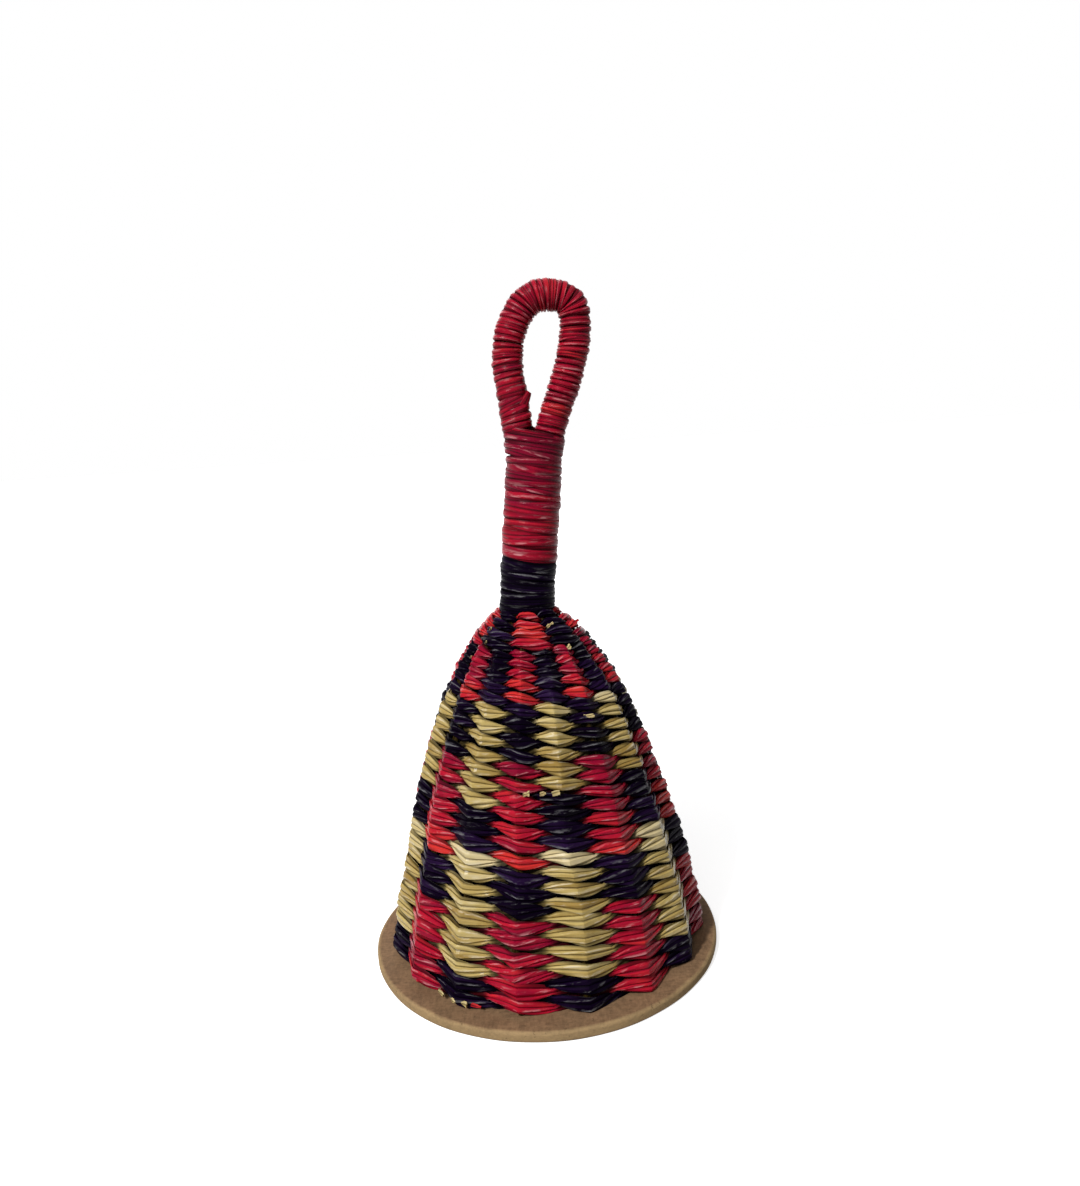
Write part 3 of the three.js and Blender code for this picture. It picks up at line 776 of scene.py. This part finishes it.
def stake_strand(meridian, number):
    """An upright stake: up the middle of the wall from its socket in the board, then up the neck on a ring
    round its axis."""
    angle = STAKE_PHASE + STAKE_STEP * number
    share = np.linspace(0, 1, 90)
    wall, outward, _, sideways = meridian.place(np.full_like(share, angle), share, wall_middle(share))
    foot = wall[:1] * (1, 1, 0) + STAKE_SOCKET_Z * UP
    radial, across = round_axis(np.radians([angle]))
    heights = np.linspace(STAKE_NECK_FROM, STAKE_NECK_TO, 12)[:, None]
    neck = on_handle(STAKE_RING * radial + heights * UP)
    rotation = handle_matrix().T
    path = np.concatenate((foot, wall, neck))
    out = np.concatenate((outward[:1], outward, np.repeat(radial @ rotation, len(neck), 0)))
    side = np.concatenate((sideways[:1], sideways, np.repeat(across @ rotation, len(neck), 0)))
    slim = np.concatenate(([0.0], share, np.ones(len(neck))))
    radius = 0.5 * (STAKE_FOOT + (STAKE_TIP - STAKE_FOOT) * slim)
    twist = wander(np.arange(len(path)), (600, 0.3, 9.0), number)
    return Strand(Section((0.6, 0.4), 0.08), path, out, side, radius, radius, twist, tone=0.4)


# Handle.


def handle_matrix():
    """Rotation of the leaning handle, which turns about its foot over the crown."""
    return np.array(Matrix.Rotation(math.radians(HANDLE_LEAN), 3, "Y"))


def on_handle(points):
    """Points of the handle's own frame, put over the crown."""
    return points @ handle_matrix().T + NECK_BASE_Z * UP


def wrap_strays(v, turns, table, seed, lean_turn):
    """Strayings of a wrap along its turns, and its climb in turns: its rise plus a lean, as lean x cos of a
    turn that drifts round the handle. The climb fades out over the first and the last turn."""
    strays = strayings(v, table, seed)
    inside = smooth_step(np.minimum(v, turns - v), 0, 1)
    return strays, inside * (strays["lean"] * np.cos(lean_turn * v - 2 * np.pi * v) + strays["rise"])


def wrap_strand(path, radial, axis, thin, tall, v, strays, tone, crease):
    """The strand of a wrap, from its path and directions in the handle's own frame."""
    rotation = handle_matrix().T
    twist = WRAP_TWIST * v + strays["twist"]
    tone = tone + strays["tone"] + strays["fine_tone"]
    return Strand(
        Section(WRAP_LOBES, crease), on_handle(path), radial @ rotation, axis @ rotation,
        np.full_like(v, thin), tall, twist, tone[:, None], press=WRAP_PRESS)


def neck_strand(settings, turns, first, last, seed, tones, start_level, end_tilt):
    """A wrap on the neck: a helix, as point = middle + radius x (cos, sin) of the turn, that climbs one
    pitch a turn. Its turns press on each other, stray and lean. At the foot they lie level like the crown,
    and at the top they slant down to the right, widen sideways and flatten over the loop's legs."""
    v = np.arange(turns * NECK_RINGS + 1) / NECK_RINGS
    pitch = (last - first) / turns
    spin = -2 * np.pi * v
    radial = np.stack([np.cos(spin), np.sin(spin), np.zeros_like(v)], -1)
    thin = 0.5 * settings.thickness / MM
    strays, climb = wrap_strays(v, turns, NECK_STRAYS, seed, NECK_LEAN_TURN)
    height = first + pitch * (v + climb)
    flare = smooth_step(height, NECK_LENGTH - 9, NECK_LENGTH)
    tuck = 1.2 * (1 - smooth_step(turns - v, 0, 0.3))
    radius = settings.neck_radius / MM - thin - tuck + strays["radius"]
    closed = flare * (1.6 + 1.4 * (1 - smooth_step(turns - v, 0, 1.5)))
    x, y = (radius + 0.7 * flare) * radial[:, 0], (radius - closed) * radial[:, 1]
    slant = start_level * (1 - smooth_step(height, 0, 9))
    slant += end_tilt * smooth_step(height, NECK_LENGTH - 10, NECK_LENGTH)
    path = np.stack([x + NECK_SHIFT * (1 - flare), y, height + slant * x], -1)
    tall = 0.80 * pitch * (1 + strays["tall"])
    tone = np.interp(v / turns, (0, 1), tones)
    axis = np.broadcast_to(UP, radial.shape)
    return wrap_strand(path, radial, axis, thin, tall, v, strays, tone, NECK_CREASE)


def loop_line():
    """Middle line of the loop in the handle's frame: a cubic through its points whose slopes come from
    the neighbouring points, weighted by the square roots of the distances (a centripetal spline). It sways
    to +X by the square of its rise over the crotch, and its +X shoulder is the squarer one."""
    side = np.array(LOOP_SIDE)
    right = np.concatenate((side[:-1], side[-1:] + LOOP_SHOULDER))
    points = np.concatenate((right, [[0.0, LOOP_TOP]], side[::-1] * (-1, 1)))
    rise = np.maximum(0, points[:, 1] - LOOP_CROTCH) / (LOOP_TOP - LOOP_CROTCH)
    points[:, 0] += LOOP_SWAY * rise**2
    points = np.concatenate((2 * points[:1] - points[1:2], points, 2 * points[-1:] - points[-2:-1]))
    gap = np.sqrt(np.linalg.norm(np.diff(points, axis=0), axis=1))[:, None]
    p0, p1, p2, p3 = points[:-3], points[1:-2], points[2:-1], points[3:]
    d0, d1, d2 = gap[:-2], gap[1:-1], gap[2:]
    m1 = ((p1 - p0) / d0 - (p2 - p0) / (d0 + d1) + (p2 - p1) / d1) * d1
    m2 = ((p2 - p1) / d1 - (p3 - p1) / (d1 + d2) + (p3 - p2) / d2) * d1
    t = np.linspace(0, 1, 200, endpoint=False)[None, :, None]
    p1, p2, m1, m2 = (values[:, None, :] for values in (p1, p2, m1, m2))
    line = (p1 * (2 * t**3 - 3 * t**2 + 1) + m1 * (t**3 - 2 * t**2 + t)
            + p2 * (3 * t**2 - 2 * t**3) + m2 * (t**3 - t**2))
    return line.reshape(-1, 2)


def loop_strand(settings):
    """The wrap on the loop: a helix round the loop's middle line. Its height along the line follows the
    room between the turns, which is wider on the outside of a bend and narrower on its inside:
    room = pitch x (1 - bend x radius x cos(turn)). The turns crowd towards the top, and the last ones of
    the left leg are laid wider."""
    line = loop_line()
    laid = running(np.linalg.norm(np.diff(line, axis=0), axis=1))
    start = laid[np.flatnonzero(line[:, 1] > LOOP_WRAP_FROM)[0]]
    end = laid[np.flatnonzero(line[:, 1] > LOOP_WRAP_TO)[-1]]
    turns = settings.loop_turns
    v = np.arange(turns * LOOP_RINGS + 1) / LOOP_RINGS
    spin, level = -2 * np.pi * v, np.zeros_like(v)
    crowded = 0.09 * (v - turns / (2 * np.pi) * np.sin(2 * np.pi * v / turns))
    widened = v - crowded + 2.5 * smooth_step(v, turns - 8, turns)
    pitch = (end - start) / widened[-1]
    strays, climb = wrap_strays(v, turns, LOOP_STRAYS, LOOP_SEED, LOOP_LEAN_TURN)
    run = start + pitch * (widened + climb)
    x, z = (np.interp(run, laid, line[:, i]) for i in range(2))
    heading = np.unwrap(np.arctan2(np.gradient(line[:, 1]), np.gradient(line[:, 0])))
    bend = np.interp(run, laid, np.gradient(heading) / np.gradient(laid))
    facing = np.interp(run, laid, heading)
    axis = np.stack([np.cos(facing), level, np.sin(facing)], -1)
    inward = np.stack([-np.sin(facing), level, np.cos(facing)], -1)
    across = np.broadcast_to(np.array([0.0, 1.0, 0.0]), axis.shape)
    radial = np.cos(spin)[:, None] * inward + np.sin(spin)[:, None] * across
    thin = 0.5 * settings.thickness / MM * 1.2
    radius = settings.loop_radius / MM - thin + strays["radius"]
    room = np.clip(1 - bend * radius * np.cos(spin), 0.3, 2) * np.gradient(widened, v)
    path = np.stack([x, level, z], -1) + radius[:, None] * radial
    tall = 0.66 * pitch * room * (1 + strays["tall"])
    return wrap_strand(path, radial, axis, thin, tall, v, strays, 0.39, LOOP_CREASE)


def flap_strand():
    """A torn tip of the wrap, which leaves the left leg's inner side: a short straight run whose width
    shrinks by the square of the way to its end."""
    along_it = np.linspace(0, 1, 7)
    start, end = np.array(FLAP_RUN)
    path = start + (end - start) * along_it[:, None]
    outward = np.array([0.45, -0.89, 0.0])
    across = np.cross(end - start, outward)
    across /= np.linalg.norm(across)
    rotation = handle_matrix().T
    outward, across = (np.tile(side @ rotation, (len(path), 1)) for side in (outward, across))
    tall = 1.5 * (1 - 0.4 * along_it**2)
    thick, twist = np.full_like(tall, 0.32), 0.5 * along_it
    return Strand(Section(*CUT_SECTION), on_handle(path), outward, across, thick, tall, twist, tone=0.4)


# Board.


def board_rings():
    """The board as a profile turned round the axis: a flat underside, an edge rounded by an arc at the
    bottom and one at the top, and a flat top. Its sawn rim strays by a sum of three sine waves."""
    edge = BOARD_EDGE_ROUND
    lower, upper = np.radians(np.linspace(-90, 0, 8)), np.radians(np.linspace(0, 90, 8))
    edge_r = BOARD_RADIUS - edge + edge * np.cos(np.concatenate((lower, upper)))
    edge_z = np.concatenate((edge + edge * np.sin(lower), BOARD_TOP - edge + edge * np.sin(upper)))
    inner = np.linspace(4, BOARD_RADIUS - edge, 14, endpoint=False)
    radius = np.concatenate((inner, edge_r, inner[::-1]))
    height = np.concatenate((np.zeros_like(inner), edge_z, np.full_like(inner, BOARD_TOP)))
    turn = np.radians(np.arange(0, 360, 1.5))
    sway = 0.10 * np.sin(3 * turn + 0.6) + 0.07 * np.sin(7 * turn) + 0.03 * np.sin(19 * turn)
    sawn = smooth_step(radius, 44, BOARD_RADIUS)[:, None] * (sway - 0.2)
    return (radius[:, None] + sawn)[..., None] * round_axis(turn)[0] + height[:, None, None] * UP


# Operators.


def finishes(context):
    """The straw finishes, made once and then shared by the pieces."""
    tints = context.scene.caxixi_colours
    made = {}
    for key, gloss in STRAW_GLINT_AND_GLOSS.items():
        name = f"{key}_strand"
        if name not in bpy.data.materials:
            levels = [getattr(tints, key + ending) for ending in ("_low", "", "_high")]
            strand_finish(name, *levels, *gloss)
        made[key] = bpy.data.materials[name]
    return made


class CAXIXI_OT_board(bpy.types.Operator):
    """Makes the round fibreboard base"""

    bl_idname = "caxixi.board"
    bl_label = "Board"

    def execute(self, context):
        tints = context.scene.caxixi_colours
        finish = board_finish("pressed_board", tints.board, tints.board_edge)
        fit(add_piece("board", board_rings(), finish), "fibreboard", "base_board")
        return {"FINISHED"}


class CAXIXI_OT_stakes(bpy.types.Operator):
    """Stands the upright stakes in the board"""

    bl_idname = "caxixi.stakes"
    bl_label = "Stakes"

    def execute(self, context):
        tints, meridian = context.scene.caxixi_colours, Meridian()
        # The stakes are painted dark brown, as the shade that they lie in between the strands.
        painted_shade_tints = [dimmed(tints.straw_low, share) for share in STAKE_PAINTED_SHADE]
        finish = strand_finish("stake_strand", *painted_shade_tints, glint_paleness=0.0, specular=0.02)
        for number in range(STAKES):
            made = stake_strand(meridian, number).piece(f"upright_{number + 1:02d}", finish)
            fit(made, "bare_straw", f"stake_{number + 1:02d}")
        return {"FINISHED"}


class CAXIXI_OT_wall(bpy.types.Operator):
    """Twines the two strands of the wall, one piece for each run of colour"""

    bl_idname = "caxixi.wall"
    bl_label = "Twined Wall"

    def execute(self, context):
        straws, meridian = finishes(context), Meridian()
        for number, runs in enumerate((STRAND_ONE, STRAND_TWO)):
            angle, strand = twine(number, context.scene.caxixi_weave, meridian)
            first = 0
            for band, top_row, last_row, tint in runs:
                ends = cut_angle(number, last_row) if last_row < ROWS else angle[-1]
                last = int(np.searchsorted(angle, ends - 1e-6))
                name = f"weft_{tint}_rows_{top_row:02d}_{last_row:02d}"
                fit(strand.piece(name, straws[tint], first, last), SLOTS[tint], f"weft_band_{band:02d}")
                first = last
        return {"FINISHED"}


class CAXIXI_OT_ends(bpy.types.Operator):
    """Adds the cut ends of strands that stick out of the wall"""

    bl_idname = "caxixi.ends"
    bl_label = "Loose Ends"

    def execute(self, context):
        straws, meridian = finishes(context), Meridian()
        for number, (tint, angle, row, *run) in enumerate(LOOSE_ENDS):
            strand = loose_end(meridian, angle, row, *run, number)
            band = next(band for band, _, last_row, _ in STRAND_TWO if row <= last_row)
            made = strand.piece(f"cut_end_{number + 1:02d}", straws[tint])
            fit(made, SLOTS[tint], f"weft_band_{band:02d}")
        return {"FINISHED"}


class CAXIXI_OT_neck(bpy.types.Operator):
    """Winds the purple and the red wrap on the neck"""

    bl_idname = "caxixi.neck"
    bl_label = "Neck Wraps"

    def execute(self, context):
        straws, wraps = finishes(context), context.scene.caxixi_wraps
        for tint, *wrap in NECK_WRAPS:
            strand = neck_strand(wraps, getattr(wraps, f"{tint}_turns"), *wrap)
            fit(strand.piece(f"neck_binding_{tint}", straws[tint]), SLOTS[tint], f"neck_wrap_{tint}")
        return {"FINISHED"}


class CAXIXI_OT_loop(bpy.types.Operator):
    """Winds the red wrap round the finger loop and adds its torn tip"""

    bl_idname = "caxixi.loop"
    bl_label = "Loop Wrap"

    def execute(self, context):
        straw, strand = finishes(context)["red"], loop_strand(context.scene.caxixi_wraps)
        fit(strand.piece("loop_binding", straw), SLOTS["red"], "loop_wrap")
        fit(flap_strand().piece("loop_flap", straw), SLOTS["red"], "loop_wrap")
        return {"FINISHED"}


class CAXIXI_OT_inside(bpy.types.Operator):
    """Finishes the loop's core and the seeds, which keep their solids"""

    bl_idname = "caxixi.inside"
    bl_label = "Pieces Inside"

    def execute(self, context):
        tints = context.scene.caxixi_colours
        bundle = ((0.3, dimmed(tints.straw_low, 0.3)), (0.7, tints.straw_low))
        coat = ((0.3, dimmed(tints.seed, 0.45)), (0.52, tints.seed), (0.75, tints.seed_high))
        core = mottled_finish("core_straw", 700.0, (1, 1, 0.25), 4.0, bundle, (0.5, 0.75), (0.4, 0.15))
        seed = mottled_finish("mottled_seed", 420.0, (1, 1, 1), 5.0, coat, (0.25, 0.5), (0.2, 0.1))
        for stem, finish in (("loop_core", core), ("seed_", seed)):
            for node in [node for name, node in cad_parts.items() if name.startswith(stem)]:
                node.data.materials.clear()
                node.data.materials.append(finish)
        return {"FINISHED"}


class CAXIXI_OT_stage(bpy.types.Operator):
    """Sets up the floor, the light and the camera"""

    bl_idname = "caxixi.stage"
    bl_label = "Stage"

    def execute(self, context):
        settings, scene = context.scene.caxixi_stage, context.scene
        scene.view_settings.view_transform = "Standard"
        self.floor(settings)
        self.lamp("key_light", settings.key, 4, (-0.44, -0.60, 0.68))
        self.lamp("soft_light", settings.soft, 45, (-0.36, -0.62, 0.70))
        self.lamp("back_light", settings.back, 40, (-0.25, 0.85, 0.45))
        self.sky(scene, settings)
        self.camera(scene)
        return {"FINISHED"}

    def floor(self, settings):
        """A level sheet under the board: corners at plus and minus its half size."""
        half, z = 9000.0, -0.05
        corners = np.array([[-half, -half, z], [half, -half, z], [half, half, z], [-half, half, z]])
        mesh = bpy.data.meshes.new("floor")
        mesh.from_pydata(corners * MM, [], [(0, 1, 2, 3)])
        mesh.materials.append(floor_finish("pale_floor", settings.floor))
        add_object("floor", mesh)

    def lamp(self, name, energy, spread, towards):
        """A sun that shines from a direction, as wide as spread."""
        data = bpy.data.lights.new(name, "SUN")
        data.energy, data.angle = energy, math.radians(spread)
        made = add_object(name, data)
        made.rotation_mode = "QUATERNION"
        made.rotation_quaternion = Vector(towards).to_track_quat("Z", "Y")

    def sky(self, scene, settings):
        """Even light, and plain white where the camera or a reflection sees past the floor."""
        world = bpy.data.worlds.new("studio")
        world.use_nodes = True
        world.node_tree.nodes.clear()
        made = Nodes(world.node_tree)
        light, white = (
            made.add("ShaderNodeBackground", {0: (1, 1, 1, 1), 1: level}).outputs[0]
            for level in (settings.sky, 1.0))
        mixed = made.add("ShaderNodeMixShader", {0: made.seen(), 1: light, 2: white}).outputs[0]
        made.add("ShaderNodeOutputWorld", {0: mixed})
        scene.world = world

    def camera(self, scene):
        """Camera at the photograph's place: pitched down and rolled a little about its view line."""
        pitch, roll = math.radians(10.12), math.radians(3.78)
        forward = Vector((0, math.cos(pitch), -math.sin(pitch)))
        level, upright = Vector((1, 0, 0)), Vector((0, math.sin(pitch), math.cos(pitch)))
        right = math.cos(roll) * level - math.sin(roll) * upright
        up = math.sin(roll) * level + math.cos(roll) * upright
        place = Matrix((right, up, -forward)).transposed().to_4x4()
        place.translation = Vector((0.00454, -0.24678, 0.14696))
        data = bpy.data.cameras.new("camera")
        data.lens, data.sensor_width = 27.29, 36.0
        data.clip_start, data.clip_end = 0.01, 100.0
        made = add_object("camera", data)
        made.matrix_world = place
        scene.camera = made


OPERATORS = (
    CAXIXI_OT_board, CAXIXI_OT_stakes, CAXIXI_OT_wall, CAXIXI_OT_ends, CAXIXI_OT_neck, CAXIXI_OT_loop,
    CAXIXI_OT_inside, CAXIXI_OT_stage)
SETTINGS = {
    "caxixi_weave": CAXIXI_PG_weave,
    "caxixi_wraps": CAXIXI_PG_wraps,
    "caxixi_colours": CAXIXI_PG_colours,
    "caxixi_stage": CAXIXI_PG_stage,
}


class CAXIXI_PT_panel(bpy.types.Panel):
    """Lists the settings and the steps that make the rattle"""

    bl_idname = "CAXIXI_PT_panel"
    bl_label = "Caxixi"
    bl_space_type = "VIEW_3D"
    bl_region_type = "UI"
    bl_category = "Caxixi"

    def draw(self, context):
        for name, group in SETTINGS.items():
            box = self.layout.box()
            for key in group.__annotations__:
                box.prop(getattr(context.scene, name), key)
        for operator in OPERATORS:
            self.layout.operator(operator.bl_idname)


CLASSES = (*SETTINGS.values(), *OPERATORS, CAXIXI_PT_panel)


def register():
    for cls in CLASSES:
        bpy.utils.register_class(cls)
    for name, cls in SETTINGS.items():
        setattr(bpy.types.Scene, name, bpy.props.PointerProperty(type=cls))


def unregister():
    for name in SETTINGS:
        delattr(bpy.types.Scene, name)
    for cls in reversed(CLASSES):
        bpy.utils.unregister_class(cls)


def main():
    register()
    bpy.ops.caxixi.board()
    bpy.ops.caxixi.stakes()
    bpy.ops.caxixi.wall()
    bpy.ops.caxixi.ends()
    bpy.ops.caxixi.neck()
    bpy.ops.caxixi.loop()
    bpy.ops.caxixi.inside()
    bpy.ops.caxixi.stage()


if __name__ == "__main__":
    main()
